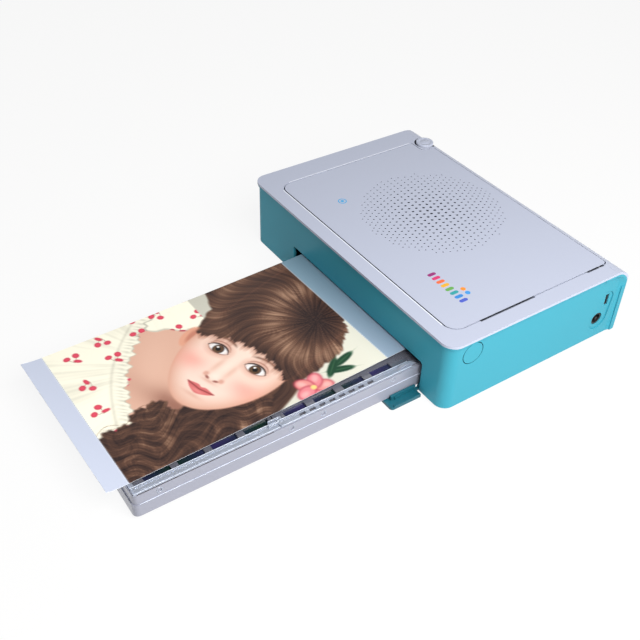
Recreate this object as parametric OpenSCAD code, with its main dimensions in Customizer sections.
// Compact photo printer with a removable paper tray, shown with a finished print lying on the tray.
// Millimetres, +Z up, front towards -Y. The origin is on the table under the middle of the whole
// outline, print included. Each sub-part is drawn with y counted back from the front edge of the top
// plate, and place() moves it into the part's own frame.

/* [Body] */
// Width of the top plate
body_w = 192; // [188:1:198]
// Depth of the body from the plate's front edge to the rear wall
body_d = 133; // [131:0.5:137]
// Height of the top plate above the table
body_h = 45; // [45:0.1:46]
// Radius of the roll from the top into the rear wall
roll_r = 12; // [11:0.5:13]
// Thickness of the white top plate
plate_t = 1.5; // [1.2:0.1:1.6]
// How far the coloured walls stand back under the plate
wall_inset = 1.2; // [0.8:0.1:1.6]
// Wall thickness of the lower housing
wall_t = 2; // [1.8:0.1:2.4]
// Plan radius of the front corners
corner_r = 8; // [6:0.5:10]
// Plan radius of the rear corners
rear_corner_r = 2.5; // [2:0.5:3]
// Gap between the table and the housing floor, filled by the feet
foot_gap = 0.8; // [0.6:0.1:1]
// Thickness of the housing floor
floor_t = 1.2; // [1:0.1:1.3]

/* [Front opening and flap] */
// Room between the tray and the left edge of the front opening
mouth_left = 11.4; // [9:0.1:15]
// Room between the tray and the right edge of the front opening
mouth_right = 2.9; // [2.4:0.1:4.4]
// Height of the front opening
mouth_h = 20.6; // [20.4:0.1:22]
// How far the flap reaches past the left edge of the opening
flap_left = 2.5; // [1:0.1:5]
// How far the flap reaches past the right edge of the opening
flap_right = 4; // [2.5:0.1:6.5]
// How far the folded-down flap reaches in front of the body
flap_reach = 20.4; // [18:0.2:21]
// Thickness of the flap
flap_t = 1.6; // [1.4:0.1:1.7]

/* [Top cover] */
// Width of the frame left of the cover panel
cover_left = 16.7; // [14:0.1:18]
// Width of the frame right of the cover panel
cover_right = 10.8; // [10:0.1:12]
// Front edge of the cover panel, behind the plate's front edge
cover_y0 = 10.2; // [9:0.1:12]
// Depth of the frame behind the cover panel
cover_rear = 10; // [9.8:0.1:11]
// Thickness of the cover panel
cover_t = 2; // [1.8:0.1:2.2]
// Gap round the cover panel
cover_gap = 0.7; // [0.5:0.1:0.9]
// Distance from the cover's rear edge to its hinge pins
hinge_back = 6; // [5.5:0.1:6.5]
// Radius of the cover's hinge pins
cover_pin_r = 0.6; // [0.5:0.05:0.65]

/* [Grille] */
// Middle of the round grille, across
grille_x = -7.7; // [-10:0.1:-5]
// Middle of the round grille, in front of the cover's rear edge
grille_rear = 50.2; // [48:0.1:53]
// Radius of the perforated field
grille_r = 43.6; // [40:0.2:45]
// Radius of the largest hole, at the middle
hole_big = 0.95; // [0.8:0.05:1]
// Radius of the smallest hole, at the rim
hole_small = 0.45; // [0.4:0.05:0.5]

/* [Buttons and ports] */
// Radius of the round button on top
power_r = 5.8; // [5:0.1:6]
// Middle of the top button, in from the body's left side
power_side = 20.5; // [20:0.1:21]
// Middle of the top button, in from the body's rear
power_rear = 11; // [10.5:0.1:11.5]
// Radius of the button in the right side
release_r = 6.45; // [6:0.05:6.5]
// Middle of the side button, behind the plate's front edge
release_y = 17; // [16:0.1:18]
// Middle of the side button, below the top plate
release_drop = 10.1; // [10:0.1:10.5]
// Middle of the power inlet, in from the body's rear
jack_rear = 18.1; // [18:0.1:19]
// Height of the power inlet's middle
jack_z = 14; // [13.5:0.1:14.5]
// Radius of the power inlet's hole
jack_r = 4; // [3.8:0.1:4]
// Middle of the upright data port, in from the body's rear
usb_rear = 13.5; // [13.4:0.1:13.6]
// Height of the data port's middle
usb_z = 26; // [26:0.1:26.5]

/* [Paper tray] */
// Right side of the tray, in from the body's right side
tray_side = 23.4; // [23:0.1:24]
// Distance from the edge of the paper to the tray's side
tray_margin = 4.6; // [4.4:0.1:5]
// How far the tray stands out in front of the plate
tray_out = 163.7; // [163:0.1:165]
// How far the tray reaches inside the body
tray_in = 28; // [26:0.5:30]
// Underside of the tray
tray_z0 = 2.4; // [2.3:0.1:2.5]
// Height of the step along the tray's sides
tray_step_z = 10; // [9.5:0.1:10.5]
// Top of the tray's side walls
tray_wall_z = 16.2; // [16:0.1:16.3]
// Top of the rails along the lid
rail_z = 17.3; // [17.2:0.1:17.3]
// Wall thickness of the tray
tray_t = 1.6; // [1.4:0.1:1.8]
// Line where the front lid ends and the rear lid begins, in front of the plate
lid_split = 84; // [80:0.5:88]

/* [Print and paper] */
// Width of a sheet
sheet_w = 102; // [101.6:0.1:102]
// Length of a blank sheet with both tear-off ends
sheet_l = 177; // [176:0.5:178]
// Thickness drawn for the print
sheet_t = 0.4; // [0.3:0.05:0.4]
// Turn of the loose print seen from above, in degrees
print_turn = 1.55; // [1:0.05:1.6]
// How far the loose print lies to the left of the paper path
print_shift = 7.5; // [7:0.1:8]
// How far the print's free end lies in front of the plate
print_out = 174; // [172:0.5:175]

/* [Mechanism] */
// Height of the flat paper path inside
path_z = 19.1; // [19:0.1:19.2]
// Gap between the cover and the ribbon tubes
tube_drop = 2; // [1.8:0.1:2.2]
// Gap between the paper path and the ribbon tubes
tube_rise = 1.9; // [1.8:0.1:2.1]
// Gap between the take-up tube and the pinch roller
takeup_gap = 2; // [1.5:0.1:2.5]
// Gap between the fan and the supply tube
supply_gap = 1; // [0.6:0.1:2]
// Radius of the rubber platen
platen_r = 6.5; // [6:0.1:6.6]
// Platen's axis behind the plate's front edge
platen_y = 66; // [65:0.5:67]
// Radius of the steel feed roller
feed_r = 3.5; // [3:0.1:3.6]
// Feed roller's axis behind the plate's front edge
feed_y = 49; // [48.5:0.5:49.5]
// Radius of the pinch and exit rollers
small_r = 4; // [3.6:0.1:4]
// Exit roller's axis behind the plate's front edge
exit_y = 12; // [11:0.5:13]
// Radius of the roller journals
journal_r = 2; // [1.8:0.1:2]
// Pitch of the gears: pitch diameter divided by the number of teeth
gear_m = 0.8; // [0.8:0.01:0.82]

/* [Hidden] */
$fn = 64;

eps = 0.01;
teal = [0.18, 0.62, 0.70];
white = [0.86, 0.88, 0.95];
smoke = [0.72, 0.73, 0.80];
dark = [0.16, 0.17, 0.19];
steel = [0.70, 0.72, 0.74];
rubber = [0.12, 0.12, 0.13];
gear_white = [0.90, 0.89, 0.85];

// fits
seat = 0.3;
run_fit = 0.05;
slide_fit = 0.4;

// levels
floor_z0 = foot_gap;
floor_z1 = foot_gap + floor_t;
plate_z0 = body_h - plate_t;
lip_z = plate_z0 - 1.1;
cover_z0 = body_h - cover_t;
tube_r = (cover_z0 - tube_drop - path_z - tube_rise) / 2;
spool_z = cover_z0 - tube_drop - tube_r;
deck_z0 = spool_z + 4;
deck_t = 1.4;
deck_z1 = deck_z0 + deck_t;
release_z = body_h - release_drop;

// places across, counted from the body's sides
half_w = body_w / 2;
tray_x1 = half_w - tray_side;
path_x = tray_x1 - tray_margin - sheet_w / 2;
tray_x0 = path_x - sheet_w / 2 - tray_margin;
mouth_x0 = tray_x0 - mouth_left;
mouth_x1 = tray_x1 + mouth_right;
flap_x0 = mouth_x0 - flap_left;
flap_x1 = mouth_x1 + flap_right;
cover_x0 = -half_w + cover_left;
cover_x1 = half_w - cover_right;
power_x = -half_w + power_side;
print_x = path_x - print_shift;

// spool axes behind the plate's front edge
fan_w = 30;
takeup_y = feed_y - small_r - takeup_gap - tube_r;
supply_y = platen_y + 2 + fan_w / 2 + supply_gap + tube_r;

// places along, counted from the body's rear
cover_y1 = body_d - cover_rear;
grille_y = cover_y1 - grille_rear;
power_y = body_d - power_rear;
jack_y = body_d - jack_rear;
usb_y = body_d - usb_rear;

// hinge axes: the cover's lies half-way through its thickness, and its rear edge dips when it opens
hinge_y = cover_y1 - hinge_back;
hinge_z = body_h - cover_t / 2;
flap_axis_y = wall_inset + 1.5;
flap_axis_z = 2.1;
flap_knuckle_r = 1.2;
flap_pin_r = 0.6;

// side plates of the chassis
side_t = 1.2;
left_x = mouth_x0 + 5.4;
right_x = mouth_x1 + 1.9;
side_y0 = 5;
side_len = supply_y + tube_r + 4 - side_y0;
side_foot = 4.4;
side_screw_x = 2.3;
side_screw_y = [side_y0 + 64, side_y0 + side_len - 7];

// rollers
feed_z = path_z - feed_r;
pinch_z = path_z + seat + small_r;
platen_z = path_z - platen_r;
exit_z = path_z + sheet_t + 0.35 + small_r;
roller_l = sheet_w + 2;
rubber_l = sheet_w;

// gears: on the outside of the left side plate
gear_t = 4;
gear_x1 = left_x - 1.2;
gear_x0 = gear_x1 - gear_t;
feed_n = 28;
pinion_n = 12;
idler_rear_n = 18;
idler_front_n = 16;
exit_n = 16;
backlash = 0.22;
stud_r = 1.5;

function pitch_r(n) = gear_m * n / 2;
function along(p, a, d) = [p[0] + d * cos(a), p[1] + d * sin(a)];
function angle_to(p, q) = atan2(q[1] - p[1], q[0] - p[0]);
// turn of a gear with nb teeth so that it meshes with one of na teeth turned by pa, in direction a
function mesh_turn(a, pa, na, nb) = a + 180 + (a - pa) * na / nb - 180 / nb;
// corner of a triangle on base p-q with the given side lengths, on the right of p-q
function third_point(p, q, lp, lq) =
  let (d = norm(q - p), u = (q - p) / d, k = (lp * lp - lq * lq + d * d) / (2 * d),
    h = sqrt(lp * lp - k * k))
  p + k * u + h * [-u[1], u[0]];

feed_p = [feed_y, feed_z];
pinion_p = along(feed_p, 0, pitch_r(feed_n) + pitch_r(pinion_n));
idler_rear_p = along(feed_p, 150, pitch_r(feed_n) + pitch_r(idler_rear_n));
exit_p = [exit_y, exit_z];
idler_front_p = third_point(idler_rear_p, exit_p, pitch_r(idler_rear_n) + pitch_r(idler_front_n),
  pitch_r(idler_front_n) + pitch_r(exit_n));
feed_turn = 0;
pinion_turn = mesh_turn(0, feed_turn, feed_n, pinion_n);
idler_rear_turn = mesh_turn(150, feed_turn, feed_n, idler_rear_n);
idler_front_turn = mesh_turn(angle_to(idler_rear_p, idler_front_p), idler_rear_turn,
  idler_rear_n, idler_front_n);
exit_turn = mesh_turn(angle_to(idler_front_p, exit_p), idler_front_turn, idler_front_n, exit_n);

// ribbon path: straight under the head, then tangent to each wound roll
film_t = 0.15;
film_z = path_z + seat + film_t / 2;
core_r = 3.6;
tube_bore = tube_r - 1.2;
supply_roll_r = core_r + (tube_bore - core_r) * 11 / 13;
takeup_roll_r = core_r + (tube_bore - core_r) * 7 / 13;
film_half = 7;
function tangent_point(p, c, r, side) =
  let (d = norm(c - p), a = angle_to(p, c) + side * asin(r / d))
  along(p, a, sqrt(d * d - r * r));
film_rear = [platen_y + film_half, film_z];
film_front = [platen_y - film_half - 1.4, film_z];
film_bend = [film_front[0] - 1.2, spool_z - 2.8];
film_w = sheet_w + 2;
guide_r = 0.9;
guide_p = film_bend - [1.12, 0.85];
supply_p = [supply_y, spool_z];
takeup_p = [takeup_y, spool_z];

// thermal head and what it hangs on, under the cover
head_z0 = film_z + film_t / 2 + seat;
head_z1 = head_z0 + 1.8;
carrier_z0 = cover_z0 - 4.4;
carrier_t = 1.4;
spring_h = 9.45;
sink_z1 = carrier_z0 - spring_h;
head_l = sheet_w + 2;
sink_seat_x = sheet_w / 2 - 14;
head_post_x = sheet_w / 2 - 7;
spring_r = 3;
spring_wire = 0.4;
spring_turns = 4;
spring_steps = 8;
fan_z0 = carrier_z0 - 7;

// pickup arm, behind and above the tray's low rear wall
pickup_pivot_y = 40;
pickup_pivot_z = 13.4;
pickup_r = 4.5;
pickup_y = 23;
stack_z0 = 5.9;
stack_z1 = 9.2;
pickup_z = stack_z1 + seat + pickup_r;
lift_pin_y = -36;
lift_pin_z = 4.75;
lift_pin_r = 0.5;
ear_x = sheet_w / 2 + 1.5;
ear_half = 0.8;
lift_half = sheet_w / 2 - 5;

// the print's free corner reaches this far in front of the plate
print_reach = print_out * cos(print_turn) + sheet_w / 2 * sin(print_turn);
middle_y = (body_d - print_reach) / 2;

module place() {
  translate([0, -middle_y, 0]) children();
}

// a block given by its two opposite corners
module block(a, b) {
  translate(a) cube(b - a);
}

// a bar along X from x0 to x1 about the point [y, z]
module rod(x0, x1, p, r) {
  translate([x0, p[0], p[1]]) rotate([0, 90, 0]) cylinder(h = x1 - x0, r = r);
}

// a flat shape drawn in [y, z] and run along X from x0 to x1
module run_x(x0, x1) {
  translate([x0, 0, 0]) rotate([90, 0, 90]) linear_extrude(height = x1 - x0) children();
}

// outline of the body in plan, set in by s
module plan(s) {
  rf = corner_r - s;
  rr = max(rear_corner_r - s, 0.4);
  w = body_w / 2 - s;
  y0 = s;
  y1 = body_d - s;
  for (m = [-1, 1]) {
    translate([m * (w - rf), y0 + rf]) circle(r = rf);
    translate([m * (w - rr), y1 - rr]) circle(r = rr);
  }
  translate([-w + rf, y0]) square([2 * (w - rf), y1 - y0 - rr]);
  translate([-w, y0 + rf]) square([2 * w, y1 - y0 - rf - rr]);
  translate([-w + rr, y0 + rf]) square([2 * (w - rr), y1 - y0 - rf]);
}

// side view of the body in [y, z], set in by s at the top and rear, cut off at height z0
module profile(s, z0, r_low) {
  r = roll_r - s;
  yc = body_d - roll_r;
  zc = body_h - roll_r;
  translate([-5, z0]) square([yc + 5, body_h - s - z0]);
  translate([-5, z0 + r_low]) square([yc + 5 + r, zc - z0 - r_low]);
  translate([yc, zc]) circle(r = r);
  translate([-5, z0]) square([yc + 5 + r - r_low, 2 * r_low]);
  translate([yc + r - r_low, z0 + r_low]) circle(r = r_low);
}

// a rounded rectangle with its front and rear corner radii
module panel_2d(x0, x1, y0, y1, rf, rr) {
  for (x = [x0 + rf, x1 - rf]) translate([x, y0 + rf]) circle(r = rf);
  for (x = [x0 + rr, x1 - rr]) translate([x, y1 - rr]) circle(r = rr);
  translate([x0 + rf, y0]) square([x1 - x0 - 2 * rf, y1 - y0 - rr]);
  translate([x0 + rr, y0 + rf]) square([x1 - x0 - 2 * rr, y1 - y0 - rf]);
  translate([x0, y0 + rf]) square([x1 - x0, y1 - y0 - rf - rr]);
}

// ---- housing ----

boss_r = 3.2;
boss_h = body_h - 15;
boss_x = half_w - 9;
boss_xy = [[-boss_x, 12], [boss_x, 32], [-boss_x, body_d - 25], [boss_x, body_d - 37]];
foot_xy = [[-half_w + 22, 14], [half_w - 12, 14], [-half_w + 16, body_d - 15],
  [half_w - 16, body_d - 15]];
foot_r = 5;
screw_r = 1.4;
screw_head_r = 2.6;
rear_slot_half = sheet_w / 2 + 3;
rim_from = 21;
pin_block_l = 3.6;

module side_pocket() {
  // the side face is set back behind a sloped edge that follows the rear roll
  pocket_y = body_d - 7;
  lip_back = 2.2;
  hull() {
    run_x(body_w / 2 - wall_inset, body_w / 2 - wall_inset + eps)
      square_profile(pocket_y, lip_z - 0.9, 8);
    run_x(body_w / 2 + eps, body_w / 2 + 2 * eps)
      square_profile(body_d - lip_back, lip_z, 10.5);
  }
}

// rectangle in [y, z] with one rounded corner, top rear
module square_profile(y1, z1, r) {
  y0 = corner_r;
  translate([y0, -1]) square([y1 - y0 - r, z1 + 1]);
  translate([y0, -1]) square([y1 - y0, z1 + 1 - r]);
  translate([y1 - r, z1 - r]) circle(r = r, $fn = 32);
}

module shell_outer() {
  // walls up to the lip
  intersection() {
    translate([0, 0, floor_z0]) linear_extrude(height = lip_z - floor_z0) plan(wall_inset);
    run_x(-body_w, body_w) profile(plate_t, floor_z0, 3);
  }
  // lip under the plate
  intersection() {
    translate([0, 0, lip_z]) linear_extrude(height = plate_z0 - lip_z) plan(0.3);
    run_x(-body_w, body_w) profile(plate_t, floor_z0, 3);
  }
  // rim round the rear of both sides
  difference() {
    intersection() {
      translate([0, 0, floor_z0]) linear_extrude(height = body_h) plan(0);
      run_x(-body_w, body_w) profile(plate_t, floor_z0, 3);
      block([-body_w, body_d - rim_from, 0], [body_w, body_d + 1, body_h]);
    }
    side_pocket();
    mirror([1, 0, 0]) side_pocket();
  }
  // rear wall below the end of the plate
  intersection() {
    translate([0, 0, floor_z0]) linear_extrude(height = body_h) plan(0);
    run_x(-body_w, body_w) profile(0, floor_z0, 3);
    block([-body_w, body_d - 5, 0], [body_w, body_d + 1, body_h - roll_r - 0.4]);
  }
}

module shell_cavity() {
  s = wall_inset + wall_t;
  intersection() {
    translate([0, 0, floor_z1]) linear_extrude(height = body_h) plan(s);
    run_x(-body_w, body_w) profile(plate_t + wall_t, floor_z1, 1);
  }
  // open top inside the lip
  translate([0, 0, lip_z - 2.4]) linear_extrude(height = 8)
    panel_2d(-body_w / 2 + s + 1, body_w / 2 - s - 1, s + 1, cover_y1 + cover_gap + 1.1, 4, 4);
}

module mouth_cut() {
  c = 1.3;
  translate([0, wall_inset + wall_t + 1, 0]) rotate([90, 0, 0])
    linear_extrude(height = wall_inset + wall_t + 3)
      polygon([[mouth_x0, -1], [mouth_x1, -1], [mouth_x1, mouth_h - c], [mouth_x1 - c, mouth_h],
        [mouth_x0 + c, mouth_h], [mouth_x0, mouth_h - c]]);
}

module port_recess() {
  // shallow oval recess round both ports, sunk in the right wall
  depth = 0.6;
  r = 7;
  x0 = body_w / 2 - wall_inset - depth;
  rod(x0, body_w / 2, [jack_y + 0.5, jack_z], r);
  rod(x0, body_w / 2, [usb_y - 1.2, usb_z + 1], r - 1.4);
  hull() {
    rod(x0, body_w / 2, [jack_y + 0.5, jack_z], r);
    rod(x0, body_w / 2, [usb_y - 1.2, usb_z + 1], r - 1.4);
  }
}

module base_shell() {
  right = body_w / 2;
  color(teal) difference() {
    union() {
      difference() {
        shell_outer();
        shell_cavity();
      }
      for (p = boss_xy) translate([p[0], p[1], floor_z1 - eps]) cylinder(h = boss_h, r = boss_r);
      // blocks that hold the flap's pins at both ends of the mouth
      block([mouth_x0 - 5, wall_inset, floor_z0], [mouth_x0, wall_inset + pin_block_l, 6]);
      block([mouth_x1, wall_inset, floor_z0], [mouth_x1 + 4.5, wall_inset + pin_block_l, 6]);
      // rails beside the tray
      block([tray_x0 - 2.2, 6, floor_z1 - eps], [tray_x0 - slide_fit, tray_in + 3, 8]);
      block([tray_x1 + slide_fit, 6, floor_z1 - eps], [tray_x1 + 2.2, tray_in + 3, 8]);
      // post for the board under the top button
      translate([power_x, power_y - 6, floor_z1 - eps]) cylinder(h = switch_z0 - floor_z1, r = 3);
      // stand-offs for the main board
      for (x = board_screw_x, y = [22, 46])
        translate([x, y, floor_z1 - eps]) cylinder(h = 3, r = 2.4);
    }
    mouth_cut();
    // hinge bores for the flap
    rod(mouth_x0 - 4, mouth_x0 + 1, [flap_axis_y, flap_axis_z], flap_pin_r);
    rod(mouth_x1 - 1, mouth_x1 + 3.6, [flap_axis_y, flap_axis_z], flap_pin_r);
    // rear slot, where the paper swings out while it prints
    block([path_x - rear_slot_half, body_d - 8, path_z - 2.1],
      [path_x + rear_slot_half, body_d + 1, path_z + 3.4]);
    // side button, ports
    rod(right - 8, right + 1, [release_y, release_z], release_r + 0.45);
    rod(right - 8, right - wall_inset - wall_t, [release_y, release_z], release_r + 1.3);
    // room for the well of the top button
    translate([power_x, power_y, body_h - 4.2]) cylinder(h = 6, r = well_r + 0.2);
    port_recess();
    rod(right - 8, right + 1, [jack_y, jack_z], jack_r);
    block([right - 8, usb_y - 1.4, usb_z - 3.9], [right + 1, usb_y + 1.4, usb_z + 3.9]);
    // screws from below and the feet's pockets
    for (p = boss_xy) {
      translate([p[0], p[1], 0]) cylinder(h = boss_h - 2, r = screw_r);
      translate([p[0], p[1], 0]) cylinder(h = floor_z1 - 0.2, r = screw_head_r + 0.2);
    }
    for (p = foot_xy) translate([p[0], p[1], 0]) cylinder(h = floor_z0 + 0.4, r = foot_r);
  }
}

// the frame fills the cover's notched corner round the top button
well_r = power_r + 2;
notch_x = power_x + well_r + 0.4;
notch_y = power_y - well_r - 0.3;
notch_gap = 0.5;
pin_in = 4;
pin_boss = 1.6;

module corner_notch(s) {
  // region left of notch_x and behind notch_y, drawn back by s, with a rounded corner
  r = 4 - s;
  x = notch_x - s;
  y = notch_y + s;
  translate([x - r, y + r]) circle(r = r);
  translate([cover_x0 - 6, y + r]) square([x - cover_x0 + 6, 20]);
  translate([cover_x0 - 6, y]) square([x - r - cover_x0 + 6, 20]);
}

module power_well() {
  translate([power_x, power_y, body_h - 2.4]) cylinder(h = 6, r = power_r + 1.1);
}

module top_frame() {
  color(white) difference() {
    union() {
      difference() {
        intersection() {
          translate([0, 0, body_h - roll_r]) linear_extrude(height = roll_r + 1) plan(0);
          run_x(-body_w, body_w) profile(0, 0, 3);
        }
        run_x(-body_w, body_w) profile(plate_t, -1, 3);
      }
      // floor of the button's well
      intersection() {
        translate([power_x, power_y, body_h - 4]) cylinder(h = 2.5, r = well_r);
        run_x(-body_w, body_w) profile(plate_t, -1, 3);
      }
      // frame round the opening, reaching down inside the walls
      difference() {
        translate([0, 0, plate_z0 - 2]) linear_extrude(height = 2 + eps)
          panel_2d(cover_x0 - 4, cover_x1 + 4, cover_y0 - 4, cover_y1 - 6, 6, 1);
        translate([0, 0, plate_z0 - 3]) linear_extrude(height = 4)
          panel_2d(cover_x0 - 2.2, cover_x1 + 2.2, cover_y0 - 2.2, cover_y1, 6, 1);
      }
      // bosses that hold the hinge pins
      block([cover_x1 + 1.6, hinge_y - 2.2, hinge_z - pin_boss], [cover_x1 + 4, hinge_y + 2.2, plate_z0 + eps]);
      block([notch_x - 3.2, hinge_y - 1.6, hinge_z - pin_boss],
        [notch_x - notch_gap, hinge_y + 1.6, plate_z0 + eps]);
    }
    translate([0, 0, plate_z0 - 1]) linear_extrude(height = 8) difference() {
      panel_2d(cover_x0 - cover_gap, cover_x1 + cover_gap, cover_y0 - cover_gap,
        cover_y1 + cover_gap, 8, 3);
      corner_notch(notch_gap);
    }
    // wider gaps along the right edge
    block([cover_x1, cover_y0 + 17.8, plate_z0 - 1], [cover_x1 + 1.5, cover_y0 + 56.3, body_h + 1]);
    block([cover_x1, cover_y1 - 16.3, plate_z0 - 1], [cover_x1 + 1.5, cover_y1 - 3, body_h + 1]);
    power_well();
    translate([power_x, power_y, 30]) cylinder(h = 20, r = 2.4);
    for (x = pin_x) rod(x[0], x[1], [hinge_y, hinge_z], cover_pin_r);
  }
}

// ---- cover ----

// holes in staggered rows that close up towards the rim, as if drawn on a shallow dome
row_amp = 52;
row_step = 4.5;
col_amp = 84.4;
col_step = 2.546;
rows = 13;
cols = 12;

module grille_holes() {
  for (j = [-rows + 0.5 : rows - 0.5], i = [-cols : cols]) {
    shift = (j - 0.5) % 2 == 0 ? 0 : 0.5;
    x = col_amp * sin(col_step * (i + shift));
    y = row_amp * sin(row_step * j);
    d = norm([x, y]);
    if (d < grille_r)
      translate([grille_x + x, grille_y + y, cover_z0 - 1])
        cylinder(h = cover_t + 2, r = hole_big + (hole_small - hole_big) * d / grille_r, $fn = 16);
  }
}

// ends of both hinge pins, across
pin_x = [[notch_x - notch_gap - 1.9, notch_x + pin_in], [cover_x1 - pin_in, cover_x1 + 3.6]];

module top_cover() {
  color(white) difference() {
    union() {
      translate([0, 0, cover_z0]) linear_extrude(height = cover_t)
        panel_2d(cover_x0, cover_x1, cover_y0, cover_y1, 7.3, 2.4);
      // bosses that turn on the hinge pins
      for (x = [notch_x, cover_x1 - pin_in - 1])
        block([x, hinge_y - 1.6, hinge_z - pin_boss], [x + pin_in + 1, hinge_y + 1.6, cover_z0 + eps]);
      // stiffening ribs
      for (x = [cover_x0 + 3, cover_x1 - 5])
        block([x, release_y + latch_half + 4, cover_z0 - 1.4],
          [x + 1.6, hinge_y - 6, cover_z0 + eps]);
      block([cover_x0 + 8, cover_y0 + 2, cover_z0 - 1.4],
        [cover_x1 - 8, cover_y0 + 3.6, cover_z0 + eps]);
      // catch for the latch
      block([latch_x0 + 2.7, release_y - latch_half, cover_z0 - 4.8],
        [latch_x0 + 4.1, release_y + latch_half, cover_z0 + eps]);
      block([latch_x0 + 1.9, release_y - latch_half, cover_z0 - 4.8],
        [latch_x0 + 4.1, release_y + latch_half, cover_z0 - 3.7]);
      // posts that carry the head
      for (x = [path_x - head_post_x, path_x + head_post_x], y = [platen_y - 6, platen_y + 10])
        translate([x, y, carrier_z0 + carrier_t]) cylinder(h = cover_z0 - carrier_z0, r = 3);
    }
    grille_holes();
    translate([0, 0, cover_z0 - 1]) linear_extrude(height = 8) corner_notch(0);
    for (x = pin_x) rod(x[0], x[1], [hinge_y, hinge_z], cover_pin_r + run_fit);
  }
}

module cover_hinge_pins() {
  color(steel) for (x = pin_x) rod(x[0], x[1], [hinge_y, hinge_z], cover_pin_r);
}

deck_x0 = -half_w + 16;
deck_x1 = half_w - 8;

module inner_deck() {
  color(dark) difference() {
    block([deck_x0, 7, deck_z0], [deck_x1, cover_y1 - 2.2, deck_z1]);
    // mouth for the ribbon cartridge and the head
    block([left_x + side_t + 0.1, takeup_y - tube_r - 1.5, 0],
      [right_x - 0.1, supply_y + tube_r + 1.5, 50]);
    // room for the latch and its button
    block([latch_x0 - 1.9, release_y - 8, 0], [deck_x1 + 1, release_y + 8, 50]);
    translate([power_x, power_y, 0]) cylinder(h = 50, r = 4.6);
  }
}

// ---- buttons ----

power_travel = 0.8;
power_z0 = body_h - 2.4 + power_travel + 0.2;
switch_z0 = body_h - 16;
switch_z1 = body_h - 12;

module power_button() {
  color(white) translate([power_x, power_y, 0]) {
    translate([0, 0, power_z0]) cylinder(h = body_h + 1 - power_z0, r = power_r);
    translate([0, 0, switch_z1 + power_travel + 0.2])
      cylinder(h = power_z0 - switch_z1 - power_travel, r = 1.9);
  }
}

module button_board() {
  color([0.10, 0.35, 0.22]) {
    z = switch_z0 + 1.2;
    block([power_x - 5, power_y - 10, switch_z0 - eps], [power_x + 5, power_y + 5, z]);
    block([power_x - 3, power_y - 3, z - eps], [power_x + 3, power_y + 3, switch_z1 - 0.6]);
    translate([power_x, power_y, z]) cylinder(h = switch_z1 - z, r = 1.5);
  }
}

release_travel = 1.5;
latch_x0 = right_x + side_t + release_travel + 0.2;
latch_x1 = half_w - 10;
latch_z0 = release_z - 3.7;
latch_half = 3;

module release_button() {
  face_x = body_w / 2 - wall_inset;
  inner_x = face_x - wall_t;
  p = [release_y, release_z];
  color(teal) {
    rod(inner_x - 3, face_x, p, release_r);
    rod(inner_x - 1.8, inner_x - seat, p, release_r + 1);
    rod(latch_x1 + seat, inner_x - 3 + eps, p, 2);
  }
}

module latch_slider() {
  x0 = latch_x0;
  y0 = release_y - latch_half;
  y1 = release_y + latch_half;
  color(gear_white) {
    block([x0, y0, latch_z0], [latch_x1, y1, release_z + 1.6]);
    block([x0, y0, release_z], [x0 + 1.2, y1, cover_z0 - 1.8]);
    // nose that stands over the cover's catch
    block([x0 + 1.2 - eps, y0, cover_z0 - 3.2], [x0 + 1.5, y1, cover_z0 - 1.8]);
  }
}

module latch_guide() {
  color(dark) {
    x1 = latch_x1 + 1.8;
    side = latch_half + slide_fit + 0.8;
    block([right_x + side_t, release_y - side - 0.8, latch_z0 - 3],
      [x1, release_y + side + 0.8, latch_z0 - seat]);
    for (m = [-1, 1])
      block([right_x + side_t, release_y + m * side - 0.8, latch_z0 - 3],
        [x1, release_y + m * side + 0.8, latch_z0 + 2]);
  }
}

// ---- flap ----

module flap_door() {
  gap = 0.35;
  color(teal) difference() {
    union() {
      translate([0, 0, 0]) linear_extrude(height = flap_t)
        panel_2d(flap_x0, flap_x1, -flap_reach, -gap, 2, 0.5);
      // raised edge on the right and left, hooked over the mouth's sides when closed
      for (x = [mouth_x0 + 1.2, mouth_x1 - 2.4])
        block([x, -flap_reach + 3.4, flap_t - eps], [x + 1.4, -0.6, 4.4]);
      for (x = [mouth_x0 + 0.4, mouth_x1 - 1.2])
        block([x, -flap_reach + 5.4, flap_t - eps], [x + 0.8, -flap_reach + 9.4, 3.6]);
      // outer edge
      block([flap_x0 + 3, -flap_reach + 0.6, flap_t - eps],
        [tray_x0 - 1, -flap_reach + 1.8, flap_t + 0.8]);
      block([flap_x1 - 1.2, -flap_reach + 2, flap_t - eps], [flap_x1, -gap - 0.4, flap_t + 0.7]);
      block([flap_x0, -flap_reach + 2, flap_t - eps],
        [flap_x0 + 1.2, -gap - 0.4, flap_t + 0.7]);
      // knuckles on the pins
      for (x = [[mouth_x0 + 0.5, mouth_x0 + 8], [tray_x1 + 0.6, mouth_x1 - 0.4]]) {
        rod(x[0], x[1], [flap_axis_y, flap_axis_z], flap_knuckle_r);
        block([x[0], -0.6 - gap, 0.6], [x[1], flap_axis_y, flap_t + 0.2]);
      }
    }
    rod(mouth_x0, mouth_x0 + 9, [flap_axis_y, flap_axis_z], flap_pin_r + run_fit);
    rod(tray_x1, mouth_x1, [flap_axis_y, flap_axis_z], flap_pin_r + run_fit);
  }
}

module flap_pins() {
  color(steel) {
    rod(mouth_x0 - 3.8, mouth_x0 + 7.6, [flap_axis_y, flap_axis_z], flap_pin_r);
    rod(tray_x1 + 0.9, mouth_x1 + 3.4, [flap_axis_y, flap_axis_z], flap_pin_r);
  }
}

// ---- paper tray ----

tray_floor = 1;
tray_low_wall = 9;
rib_x = sheet_w / 2 - 11;

module tray_2d(s) {
  panel_2d(tray_x0 + s, tray_x1 - s, -tray_out + s, tray_in - s, 3 - s, 2);
}

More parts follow.
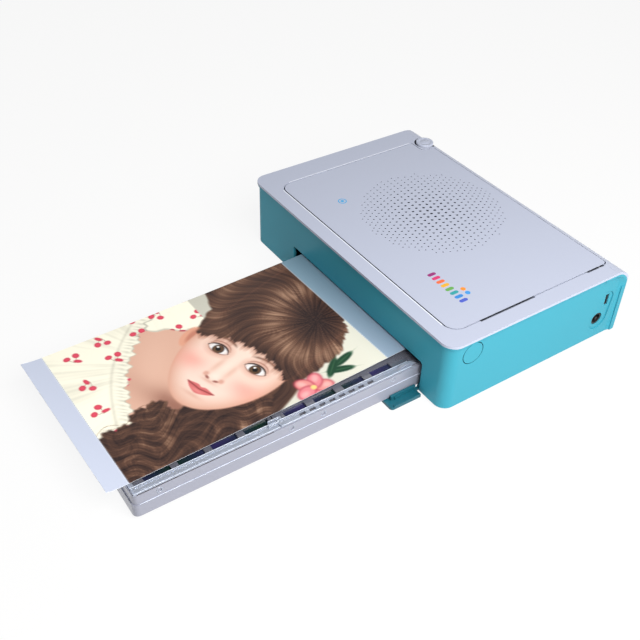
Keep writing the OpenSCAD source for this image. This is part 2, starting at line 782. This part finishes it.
module paper_tray() {
  color(smoke) difference() {
    union() {
      translate([0, 0, tray_z0]) linear_extrude(height = tray_step_z - tray_z0) tray_2d(0);
      translate([0, 0, tray_step_z - eps]) linear_extrude(height = tray_wall_z - tray_step_z)
        tray_2d(0.5);
      // front feet
      for (x = [tray_x0 + 14, tray_x1 - 14])
        block([x - 6, -tray_out + 6, 0], [x + 6, -tray_out + 9, tray_z0 + eps]);
    }
    translate([0, 0, tray_z0 + tray_floor]) linear_extrude(height = 20) tray_2d(tray_t + 0.4);
    // low rear wall that the paper slides over
    block([tray_x0 + tray_t + 0.4, tray_in - 5, tray_low_wall],
      [tray_x1 - tray_t - 0.4, tray_in + 1, 20]);
    // row of small marks in the right wall
    for (y = [-78, -59, -150])
      rod(tray_x1 - 0.9, tray_x1 + 1, [y, 13.2], 1.1);
  }
  color(smoke) {
    // ribs under the paper
    for (x = [path_x - rib_x, path_x - 14, path_x + 14, path_x + rib_x])
      block([x - 0.6, -tray_out + 4, tray_z0 + tray_floor - eps],
        [x + 0.6, lift_pin_y - 8, stack_z0 - 0.3]);
    // ears for the lift plate's pins
    for (m = [-1, 1]) difference() {
      block([path_x + m * ear_x - ear_half, lift_pin_y - 2, tray_z0 + tray_floor - eps],
        [path_x + m * ear_x + ear_half, lift_pin_y + 2, lift_pin_z + 1.6]);
      rod(tray_x0, tray_x1, [lift_pin_y, lift_pin_z], lift_pin_r);
    }
  }
}

module rail(x, y0, y1) {
  // a rail with a shallow groove along its top
  difference() {
    block([x, y0, tray_wall_z + seat], [x + 4.6, y1, rail_z]);
    block([x + 1.2, y0 - 1, rail_z - 0.5], [x + 3.4, y1 + 1, rail_z + 1]);
  }
}

lid_z0 = tray_wall_z - 1.4;
lid_t = 1;

module tray_lid_front() {
  y0 = -tray_out + 1.2;
  y1 = -lid_split - seat;
  color([0.80, 0.84, 0.92, 0.5]) {
    difference() {
      block([tray_x0 + tray_t + 1.2, y0 + 2, lid_z0], [tray_x1 - tray_t - 1.2, y1, lid_z0 + lid_t]);
      // windows beside the rails
      for (k = [0 : 3], x = [tray_x0 + 6.2, tray_x1 - 11.2])
        block([x, y0 + 8 + 18 * k, 0], [x + 5, y0 + 22 + 18 * k, 30]);
    }
    for (x = [tray_x0 + 0.9, tray_x1 - 5.5]) {
      rail(x, y0, y1);
      block([x + 1.4, y0 + 2, lid_z0], [x + 3.2, y1, tray_wall_z + seat + 0.1]);
    }
    block([tray_x0 + 0.9, y0, tray_wall_z + seat], [tray_x1 - 0.9, y0 + 1.4, rail_z - 0.4]);
    block([tray_x0 + 2.4, y0 + 1.2, lid_z0 + lid_t - 0.2],
      [tray_x1 - 2.4, y0 + 2.4, rail_z - 0.4]);
  }
}

module tray_lid_rear() {
  y0 = -lid_split + seat;
  y1 = 4;
  color([0.80, 0.84, 0.92, 0.5]) {
    difference() {
      block([tray_x0 + tray_t + 1.2, y0, lid_z0], [tray_x1 - tray_t - 1.2, y1, lid_z0 + lid_t]);
      for (k = [0 : 3], x = [tray_x0 + 6.2, tray_x1 - 11.2])
        block([x, y0 + 6 + 18 * k, 0], [x + 5, y0 + 19 + 18 * k, 30]);
    }
    for (x = [tray_x0 + 0.9, tray_x1 - 5.5]) {
      difference() {
        union() {
          rail(x, y0, y1 - 6);
          block([x + 1.4, y0, lid_z0], [x + 3.2, y1 - 6, tray_wall_z + seat + 0.1]);
        }
        // row of slots along the rail
        for (k = [0 : 7]) block([x + 1.2, y0 + 12 + 6 * k, tray_wall_z - 0.2],
          [x + 3.4, y0 + 15.6 + 6 * k, 30]);
      }
    }
    // rounded cheeks at the inner end
    for (c = [[tray_x0 + 2.2, 7.4], [tray_x1 - 3.8, 9.3]]) intersection() {
      rod(c[0], c[0] + 1.6, [-4.5, 9.8], c[1]);
      block([c[0], -20, lid_z0 + 0.1], [c[0] + 1.6, 8, 40]);
    }
    // knuckle where the two halves of the lid meet
    rod(tray_x1 - 7.4, tray_x1 - 5.6, [y0 + 2.4, lid_z0 + 1.4], 1.3);
  }
}

module lift_plate() {
  // plate that raises the inner end of the stack to the pickup roller
  y1 = tray_in - 7;
  color(steel) difference() {
    union() {
      block([path_x - lift_half, lift_pin_y, lift_pin_z + 0.05],
        [path_x + lift_half, y1, stack_z0 - seat]);
      rod(path_x - lift_half, path_x + lift_half, [lift_pin_y, lift_pin_z], lift_pin_r + 0.4);
    }
    rod(path_x - lift_half - 1, path_x + lift_half + 1, [lift_pin_y, lift_pin_z],
      lift_pin_r + run_fit);
    for (k = [-1 : 1]) translate([path_x + k * (lift_half - 16), -8, 0]) cylinder(h = 20, r = 7);
  }
}

module lift_hinge_pins() {
  // each pin sits in an ear and reaches 2 mm into the plate's barrel
  pin_l = ear_x + ear_half - lift_half + 2;
  color(steel) for (m = [-1, 1])
    rod(path_x + m * (lift_half - 2 + pin_l / 2) - pin_l / 2,
      path_x + m * (lift_half - 2 + pin_l / 2) + pin_l / 2, [lift_pin_y, lift_pin_z], lift_pin_r);
}

module paper_stack() {
  color([0.95, 0.95, 0.97])
    block([path_x - sheet_w / 2, tray_in - 7 - sheet_l, stack_z0],
      [path_x + sheet_w / 2, tray_in - 7, stack_z1]);
}

// ---- print ----

// underside of the lying print: a gentle sag, with a curled end
sag_y = -125;
sag_z = rail_z + 0.25;
sag_rise = 1.35;
curl_y = -163;
curl_rise = 1.1;
function print_z(y) = sag_z + sag_rise * pow((y - sag_y) / 126, 2)
  + (y < curl_y ? curl_rise * pow((curl_y - y) / 11, 2) : 0);
print_in = 11;
print_steps = 40;

module print_sheet() {
  ys = [for (k = [0 : print_steps]) print_in - (print_in + print_out) * k / print_steps];
  low = [for (y = ys) [y, print_z(y)]];
  high = [for (k = [print_steps : -1 : 0]) [ys[k], print_z(ys[k]) + sheet_t]];
  color([0.92, 0.93, 0.97])
    translate([print_x, 0, 0]) rotate([0, 0, print_turn])
      run_x(-sheet_w / 2, sheet_w / 2) polygon(concat(low, high));
}

// ---- ribbon ----

end_x0 = left_x + side_t + 0.9;
end_x1 = right_x - 0.9;
end_t = 1.8;
spool_bore = 2.2;

module ribbon_tube(p, side) {
  // trough over the spool, open towards the head and the paper
  difference() {
    rod(end_x0, end_x1, p, tube_r);
    rod(end_x0 - 1, end_x1 + 1, p, tube_bore);
    // open from just past the bottom round to the side that faces the head
    block([end_x0 - 1, side < 0 ? p[0] - 20 : p[0] - 2.2, p[1] - 20],
      [end_x1 + 1, side < 0 ? p[0] + 2.2 : p[0] + 20, p[1] + (side < 0 ? -1.5 : 5.5)]);
  }
}

module ribbon_cartridge() {
  color([0.25, 0.27, 0.32]) difference() {
    union() {
      ribbon_tube(takeup_p, 1);
      ribbon_tube(supply_p, -1);
      for (x = [end_x0, end_x1 - end_t]) {
        rod(x, x + end_t, takeup_p, tube_r);
        rod(x, x + end_t, supply_p, tube_r);
        block([x, takeup_y, spool_z - 3], [x + end_t, supply_y, spool_z + 5]);
        block([x, guide_p[0] - guide_r, guide_p[1] - guide_r],
          [x + end_t, guide_p[0] + guide_r, spool_z]);
      }
      // bar that turns the film up towards the take-up spool
      rod(end_x0, end_x1, guide_p, guide_r);
    }
    rod(end_x0 - 1, end_x1 + 1, takeup_p, spool_bore + run_fit);
    rod(end_x0 - 1, end_x1 + 1, supply_p, spool_bore + run_fit);
  }
}

module spool(p) {
  // core with two flanges and a journal at each end
  rod(end_x0 + end_t + 0.6, end_x1 - end_t - 0.6, p, core_r);
  rod(end_x0 + 0.2, end_x1 - 0.2, p, spool_bore);
  for (x = [end_x0 + end_t + 0.6, end_x1 - end_t - 1.8]) rod(x, x + 1.2, p, tube_bore - 0.5);
}

module wound(p, r) {
  difference() {
    rod(end_x0 + end_t + 2.4, end_x1 - end_t - 2.4, p, r);
    rod(end_x0, end_x1, p, core_r);
  }
}

module supply_spool() { color(gear_white) spool(supply_p); }
module takeup_spool() { color(gear_white) spool(takeup_p); }
module supply_ribbon() { color([0.55, 0.16, 0.36]) wound(supply_p, supply_roll_r); }
module takeup_ribbon() { color([0.15, 0.15, 0.18]) wound(takeup_p, takeup_roll_r); }

// a straight stretch of film from p to q
module film_strip(p, q) {
  u = (q - p) / norm(q - p);
  n = film_t / 2 * [-u[1], u[0]];
  polygon([p - n, q - n, q + n, p + n]);
  translate(p) circle(r = film_t / 2, $fn = 12);
  translate(q) circle(r = film_t / 2, $fn = 12);
}

module ribbon_film() {
  // the film leaves each wound roll a little way off it
  off = 0.3;
  a = tangent_point(film_rear, supply_p, supply_roll_r + off, -1);
  d = tangent_point(film_bend, takeup_p, takeup_roll_r + off, -1);
  pts = [a, film_rear, film_front, film_bend, d];
  color([0.55, 0.16, 0.36]) run_x(path_x - film_w / 2, path_x + film_w / 2)
    for (k = [0 : 3]) film_strip(pts[k], pts[k + 1]);
}

// ---- rollers ----

module journal(p, r_body, from_x) {
  // shaft through both side plates, thicker between them
  rod(from_x, right_x + side_t + 1.2, p, journal_r);
  rod(path_x - roller_l / 2, path_x + roller_l / 2, p, r_body);
}

module sleeve(p, r, r_in, x0, x1) {
  difference() {
    rod(x0, x1, p, r);
    rod(x0 - 1, x1 + 1, p, r_in);
  }
}

plain_end = left_x - 0.6;
gear_end = gear_x0 - 0.6;

module platen_shaft() { color(steel) journal([platen_y, platen_z], 3, plain_end); }
module platen_roller() {
  color(rubber) sleeve([platen_y, platen_z], platen_r, 3, path_x - rubber_l / 2,
    path_x + rubber_l / 2);
}
module feed_roller() { color(steel) journal(feed_p, feed_r, gear_end); }
module pinch_shaft() { color(steel) journal([feed_y, pinch_z], 2.4, plain_end); }
module pinch_roller() {
  color(rubber) sleeve([feed_y, pinch_z], small_r, 2.4, path_x - rubber_l / 2,
    path_x + rubber_l / 2);
}
module exit_shaft() { color(steel) journal(exit_p, 2.4, gear_end); }
module exit_roller() {
  color(rubber) for (k = [-1 : 1]) {
    x = path_x + k * (sheet_w / 2 - 15);
    sleeve(exit_p, small_r, 2.4, x - 8, x + 8);
  }
}

pickup_arm_half = 9;

module pickup_shaft() {
  color(steel) rod(left_x - 0.6, right_x + side_t + 0.6, [pickup_pivot_y, pickup_pivot_z], 2);
}

module pickup_arm() {
  color(dark) difference() {
    union() {
      for (m = [-1, 1]) {
        x = path_x + m * pickup_arm_half;
        rod(x - 0.8, x + 0.8, [pickup_pivot_y, pickup_pivot_z], 3.2);
        rod(x - 0.8, x + 0.8, [pickup_y, pickup_z], 2.4);
        block([x - 0.8, pickup_y, pickup_z - 1.6], [x + 0.8, pickup_pivot_y, pickup_z + 1.8]);
      }
      block([path_x - pickup_arm_half, pickup_pivot_y - 8.6, pickup_z - 1.4],
        [path_x + pickup_arm_half, pickup_pivot_y - 6.6, pickup_z + 1.8]);
    }
    rod(path_x - 20, path_x + 20, [pickup_pivot_y, pickup_pivot_z], 2 + run_fit);
    rod(path_x - 20, path_x + 20, [pickup_y, pickup_z], 1);
  }
}

module pickup_axle() {
  color(steel) rod(path_x - pickup_arm_half - 1.2, path_x + pickup_arm_half + 1.2,
    [pickup_y, pickup_z], 1);
}

module pickup_roller() {
  color(rubber) sleeve([pickup_y, pickup_z], pickup_r, 1 + run_fit,
    path_x - pickup_arm_half + 1.4, path_x + pickup_arm_half - 1.4);
}

// ---- head, carried by the cover ----

module thermal_head() {
  color([0.85, 0.80, 0.70])
    block([path_x - head_l / 2, platen_y - 5, head_z0], [path_x + head_l / 2, platen_y + 5, head_z1]);
}

module heat_sink() {
  x0 = path_x - head_l / 2;
  x1 = path_x + head_l / 2;
  fin_step = (head_l - 5.6) / 12;
  color([0.75, 0.77, 0.80]) {
    block([x0, platen_y - 7, head_z1], [x1, platen_y + 11, head_z1 + 2.5]);
    for (k = [0 : 12]) if (abs(k - 6) < 4.5 || abs(k - 6) > 5.5)
      block([x0 + 2 + k * fin_step, platen_y - 6, head_z1 + 2.4],
        [x0 + 3.6 + k * fin_step, platen_y + 10, sink_z1]);
    for (m = [-1, 1])
      translate([path_x + m * sink_seat_x, platen_y + 2, head_z1 + 2.4])
        cylinder(h = sink_z1 - head_z1 - 2.4, r = 3.6);
  }
}

module head_carrier() {
  x0 = path_x - head_l / 2 - 2;
  x1 = path_x + head_l / 2 + 2;
  z1 = carrier_z0 + carrier_t;
  color(steel) difference() {
    union() {
      block([x0, platen_y - 10, carrier_z0], [x1, platen_y + 14, z1]);
      for (x = [x0, x1 - 1.2])
        block([x, platen_y - 6, head_z1 + 1], [x + 1.2, platen_y + 10, z1]);
    }
    translate([path_x, platen_y + 2, 0]) cylinder(h = 60, r = 10.5);
  }
}

// cut through a coil spring at one height: a crescent whose ends taper with the wire
module spring_cut() {
  mid = spring_r - spring_wire;
  half = 180 * 2 * spring_wire * spring_turns / spring_h;
  turns = [for (k = [-1 : 2 / spring_steps : 1.0001]) k];
  outer = [for (k = turns) [half * k, mid + spring_wire * sqrt(max(0, 1 - k * k))]];
  inner = [for (k = [for (i = [1 : spring_steps - 1]) -turns[i]])
    [half * k, mid - spring_wire * sqrt(1 - k * k)]];
  polygon([for (p = concat(outer, inner)) p[1] * [cos(p[0]), sin(p[0])]]);
}

module head_springs() {
  color(steel) for (m = [-1, 1])
    translate([path_x + m * sink_seat_x, platen_y + 2, sink_z1])
      linear_extrude(height = spring_h, twist = -360 * spring_turns, slices = 12 * spring_turns,
        segments = 2 * spring_steps, $fn = 8) spring_cut();
}

fan_p = [path_x, platen_y + 2];

module fan_frame() {
  t = 7;
  color(dark) translate([fan_p[0], fan_p[1], fan_z0]) {
    difference() {
      translate([-fan_w / 2, -fan_w / 2, 0]) cube([fan_w, fan_w, t]);
      translate([0, 0, -1]) cylinder(h = t + 2, r = fan_w / 2 - 1.2);
    }
    // spider that holds the motor
    difference() {
      union() {
        for (a = [45, 135]) rotate([0, 0, a])
          translate([-fan_w / 2 + 0.6, -0.8, 0]) cube([fan_w - 1.2, 1.6, 1]);
        cylinder(h = 1, r = 5);
      }
      translate([0, 0, -1]) cylinder(h = 4, r = 0.85);
    }
  }
}

module fan_rotor() {
  color([0.22, 0.23, 0.26]) translate([fan_p[0], fan_p[1], fan_z0]) {
    translate([0, 0, 1.3]) cylinder(h = 5, r = 5);
    translate([0, 0, 0.1]) cylinder(h = 2, r = 0.8);
    for (k = [0 : 6]) rotate([0, 0, 360 / 7 * k])
      translate([4.5, 0, 3.8]) rotate([35, 0, 0]) translate([0, -2.6, -0.4]) cube([8.2, 5.2, 0.8]);
  }
}

// ---- gear train ----

// a spur gear along X about [y, z], with straight-sided teeth
module gear(p, n, turn, bore) {
  rp = pitch_r(n);
  root = rp - 1.2 * gear_m;
  tip = rp + 0.85 * gear_m;
  wide = PI * gear_m / 2 - backlash;
  translate([gear_x0, p[0], p[1]]) rotate([90, 0, 90]) difference() {
    linear_extrude(height = gear_t) {
      circle(r = root);
      for (k = [0 : n - 1]) rotate(turn + 360 / n * k)
        polygon([[root - 0.3, -wide * 0.72], [rp, -wide / 2], [tip, -wide * 0.22],
          [tip, wide * 0.22], [rp, wide / 2], [root - 0.3, wide * 0.72]]);
    }
    if (bore > 0) translate([0, 0, -1]) cylinder(h = gear_t + 2, r = bore);
  }
}

module feed_gear() { color(gear_white) gear(feed_p, feed_n, feed_turn, journal_r); }
module motor_pinion() {
  color([0.78, 0.62, 0.30]) {
    gear(pinion_p, pinion_n, pinion_turn, 0);
    rod(motor_x1 - motor_bore_l + 0.5, gear_x0 + eps, pinion_p, motor_shaft_r);
  }
}
module idler_gear_rear() {
  color(gear_white) gear(idler_rear_p, idler_rear_n, idler_rear_turn, stud_r + run_fit);
}
module idler_gear_front() {
  color(gear_white) gear(idler_front_p, idler_front_n, idler_front_turn, stud_r + run_fit);
}
module exit_gear() { color(gear_white) gear(exit_p, exit_n, exit_turn, journal_r); }

module gear_studs() {
  color(steel) for (p = [idler_rear_p, idler_front_p]) {
    rod(gear_x0 - 0.5, left_x + side_t, p, stud_r);
    rod(gear_x1 + 0.3, left_x, p, stud_r + 1);
    rod(gear_x0 - 1.3, gear_x0 - 0.4, p, stud_r + 1);
  }
}

motor_r = 11;
motor_x1 = gear_x0 - 2.4;
motor_l = 19;
motor_shaft_r = 1;
motor_bore_l = 6;

module drive_motor() {
  color(steel) difference() {
    union() {
      rod(motor_x1 - motor_l, motor_x1, pinion_p, motor_r);
      rod(motor_x1 - eps, motor_x1 + 0.8, pinion_p, 3);
      rod(motor_x1 - motor_l - 1.5, motor_x1 - motor_l + eps, pinion_p, 3);
    }
    rod(motor_x1 - motor_bore_l, motor_x1 + 1, pinion_p, motor_shaft_r + run_fit);
  }
}

module motor_bracket() {
  x = motor_x1;
  color(steel) difference() {
    union() {
      block([x, pinion_p[0] - 13, floor_z1], [x + 1.2, pinion_p[0] + 13, pinion_p[1] + 10]);
      block([x - 10, pinion_p[0] + 11.4, floor_z1], [x + 1.2, pinion_p[0] + 17, floor_z1 + 1.2]);
    }
    rod(x - 1, x + 3, pinion_p, 3.2);
    block([x - 1, 0, 0], [x + 3, feed_y + pitch_r(feed_n) + 1.4, 60]);
  }
}

// ---- chassis ----

module side_plate(x, outer) {
  difference() {
    union() {
      block([x, side_y0, floor_z1], [x + side_t, side_y0 + side_len, deck_z0]);
      // foot along the floor, turned away from the paper
      block([outer < 0 ? x - side_foot : x, side_y0 + 58, floor_z1],
        [outer < 0 ? x + side_t : x + side_t + side_foot, side_y0 + side_len, floor_z1 + side_t]);
    }
    for (p = [[platen_y, platen_z], feed_p, [feed_y, pinch_z], exit_p])
      rod(x - 1, x + side_t + 1, p, journal_r + run_fit);
    rod(x - 1, x + side_t + 1, [pickup_pivot_y, pickup_pivot_z], 2);
    if (outer < 0) for (p = [idler_rear_p, idler_front_p]) rod(x - 1, x + side_t + 1, p, stud_r);
    // notches that the cartridge drops into
    for (y = [takeup_y, supply_y]) {
      rod(x - 1, x + side_t + 1, [y, spool_z], 2.6);
      block([x - 1, y - 2.6, spool_z], [x + side_t + 1, y + 2.6, deck_z0 + 1]);
    }
    for (y = side_screw_y)
      translate([x + (outer < 0 ? -side_screw_x : side_t + side_screw_x), y, 0])
        cylinder(h = 10, r = 1.3);
  }
}

module chassis_left() { color(steel) side_plate(left_x, -1); }
module chassis_right() { color(steel) side_plate(right_x, 1); }

module paper_guides() {
  // plates that carry the paper between the rollers and out to the rear slot
  x0 = left_x + side_t;
  x1 = right_x;
  color(dark) {
    block([x0, feed_y + feed_r + 1, path_z - 1.6], [x1, platen_y - platen_r - 0.6, path_z - 0.6]);
    block([x0, platen_y + platen_r + 0.8, path_z - 2], [x1, side_y0 + side_len, path_z - 1]);
    block([x0 + 4, side_y0 + side_len - eps, path_z - 2], [x1 - 4, body_d - 4, path_z - 1]);
    for (x = [x0 + 8 : 16 : x1 - 8])
      block([x, platen_y + platen_r + 1, path_z - 1.1], [x + 1.4, body_d - 4, path_z - 0.5]);
  }
}

// ---- electronics ----

board_t = 1.6;
board_z = floor_z1 + 3;
board_x0 = -half_w + 5;
board_x1 = left_x - 9.4;
board_screw_x = [board_x0 + 3, board_x1 - 4];

module main_board() {
  z = board_z + board_t;
  x = (board_x0 + board_x1) / 2;
  color([0.10, 0.35, 0.22]) block([board_x0, 18.5, board_z - eps], [board_x1, 50, z]);
  color(dark) {
    block([x - 9.5, 26, z - eps], [x + 4.5, 40, z + 1.4]);
    block([x + 7.5, 28, z - eps], [x + 14.5, 38, z + 1.2]);
    for (y = [21, 43.5]) block([x - 3.5, y, z - eps], [x + 8.5, y + 3.6, z + 5]);
  }
  color(steel) for (x = board_screw_x, y = [22, 46])
    translate([x, y, z - eps]) cylinder(h = 1.2, r = 2.4);
}

port_x = half_w - 11;

module port_board() {
  color([0.10, 0.35, 0.22])
    block([port_x - board_t, jack_y - 8, floor_z1 + seat], [port_x, usb_y + 4.6, usb_z + 5]);
}

module dc_jack() {
  color(dark) difference() {
    union() {
      block([port_x, jack_y - 4.4, jack_z - 4.4], [half_w - 3.6, jack_y + 4.4, jack_z + 4.4]);
      rod(half_w - 3.6 - eps, half_w - wall_inset - 1, [jack_y, jack_z], jack_r - 0.1);
    }
    sleeve([jack_y, jack_z], 2.8, 0.95, port_x + 1.5, body_w);
  }
}

module usb_port() {
  y0 = usb_y - 1.25;
  z0 = usb_z - 3.7;
  color(steel) difference() {
    block([port_x, y0, z0], [body_w / 2 - wall_inset - 1, y0 + 2.5, z0 + 7.4]);
    difference() {
      block([port_x + 1, y0 + 0.3, z0 + 0.3], [body_w, y0 + 2.2, z0 + 7.1]);
      block([port_x, y0 + 0.9, z0 + 1.6], [half_w - 3.2, y0 + 1.6, z0 + 5.8]);
    }
  }
}

// ---- feet and fasteners ----

module rubber_feet() {
  color(rubber) for (p = foot_xy)
    translate([p[0], p[1], 0]) cylinder(h = floor_z0 + 0.4, r = foot_r - 0.1);
}

module case_screws() {
  color(steel) for (p = boss_xy) translate([p[0], p[1], 0]) {
    translate([0, 0, floor_z1 - 1.4]) cylinder(h = 1.2, r = screw_head_r);
    translate([0, 0, floor_z1 - 0.3]) cylinder(h = 14, r = screw_r - 0.05);
  }
}

module chassis_screws() {
  color(steel) for (m = [-1, 1], y = side_screw_y) {
    x = m < 0 ? left_x - side_screw_x : right_x + side_t + side_screw_x;
    translate([x, y, floor_z1 + side_t]) cylinder(h = 1.4, r = 2);
    translate([x, y, floor_z1]) cylinder(h = side_t + 0.1, r = 1.2);
  }
}

place() base_shell();
place() top_frame();
place() top_cover();
place() cover_hinge_pins();
place() inner_deck();
place() power_button();
place() button_board();
place() release_button();
place() latch_slider();
place() latch_guide();
place() flap_door();
place() flap_pins();
place() paper_tray();
place() tray_lid_front();
place() tray_lid_rear();
place() lift_plate();
place() lift_hinge_pins();
place() paper_stack();
place() print_sheet();
place() ribbon_cartridge();
place() supply_spool();
place() supply_ribbon();
place() takeup_spool();
place() takeup_ribbon();
place() ribbon_film();
place() platen_roller();
place() platen_shaft();
place() feed_roller();
place() pinch_roller();
place() pinch_shaft();
place() exit_roller();
place() exit_shaft();
place() pickup_shaft();
place() pickup_arm();
place() pickup_roller();
place() pickup_axle();
place() thermal_head();
place() heat_sink();
place() head_carrier();
place() head_springs();
place() fan_frame();
place() fan_rotor();
place() drive_motor();
place() motor_bracket();
place() motor_pinion();
place() feed_gear();
place() idler_gear_front();
place() idler_gear_rear();
place() exit_gear();
place() gear_studs();
place() chassis_left();
place() chassis_right();
place() paper_guides();
place() main_board();
place() port_board();
place() dc_jack();
place() usb_port();
place() rubber_feet();
place() case_screws();
place() chassis_screws();
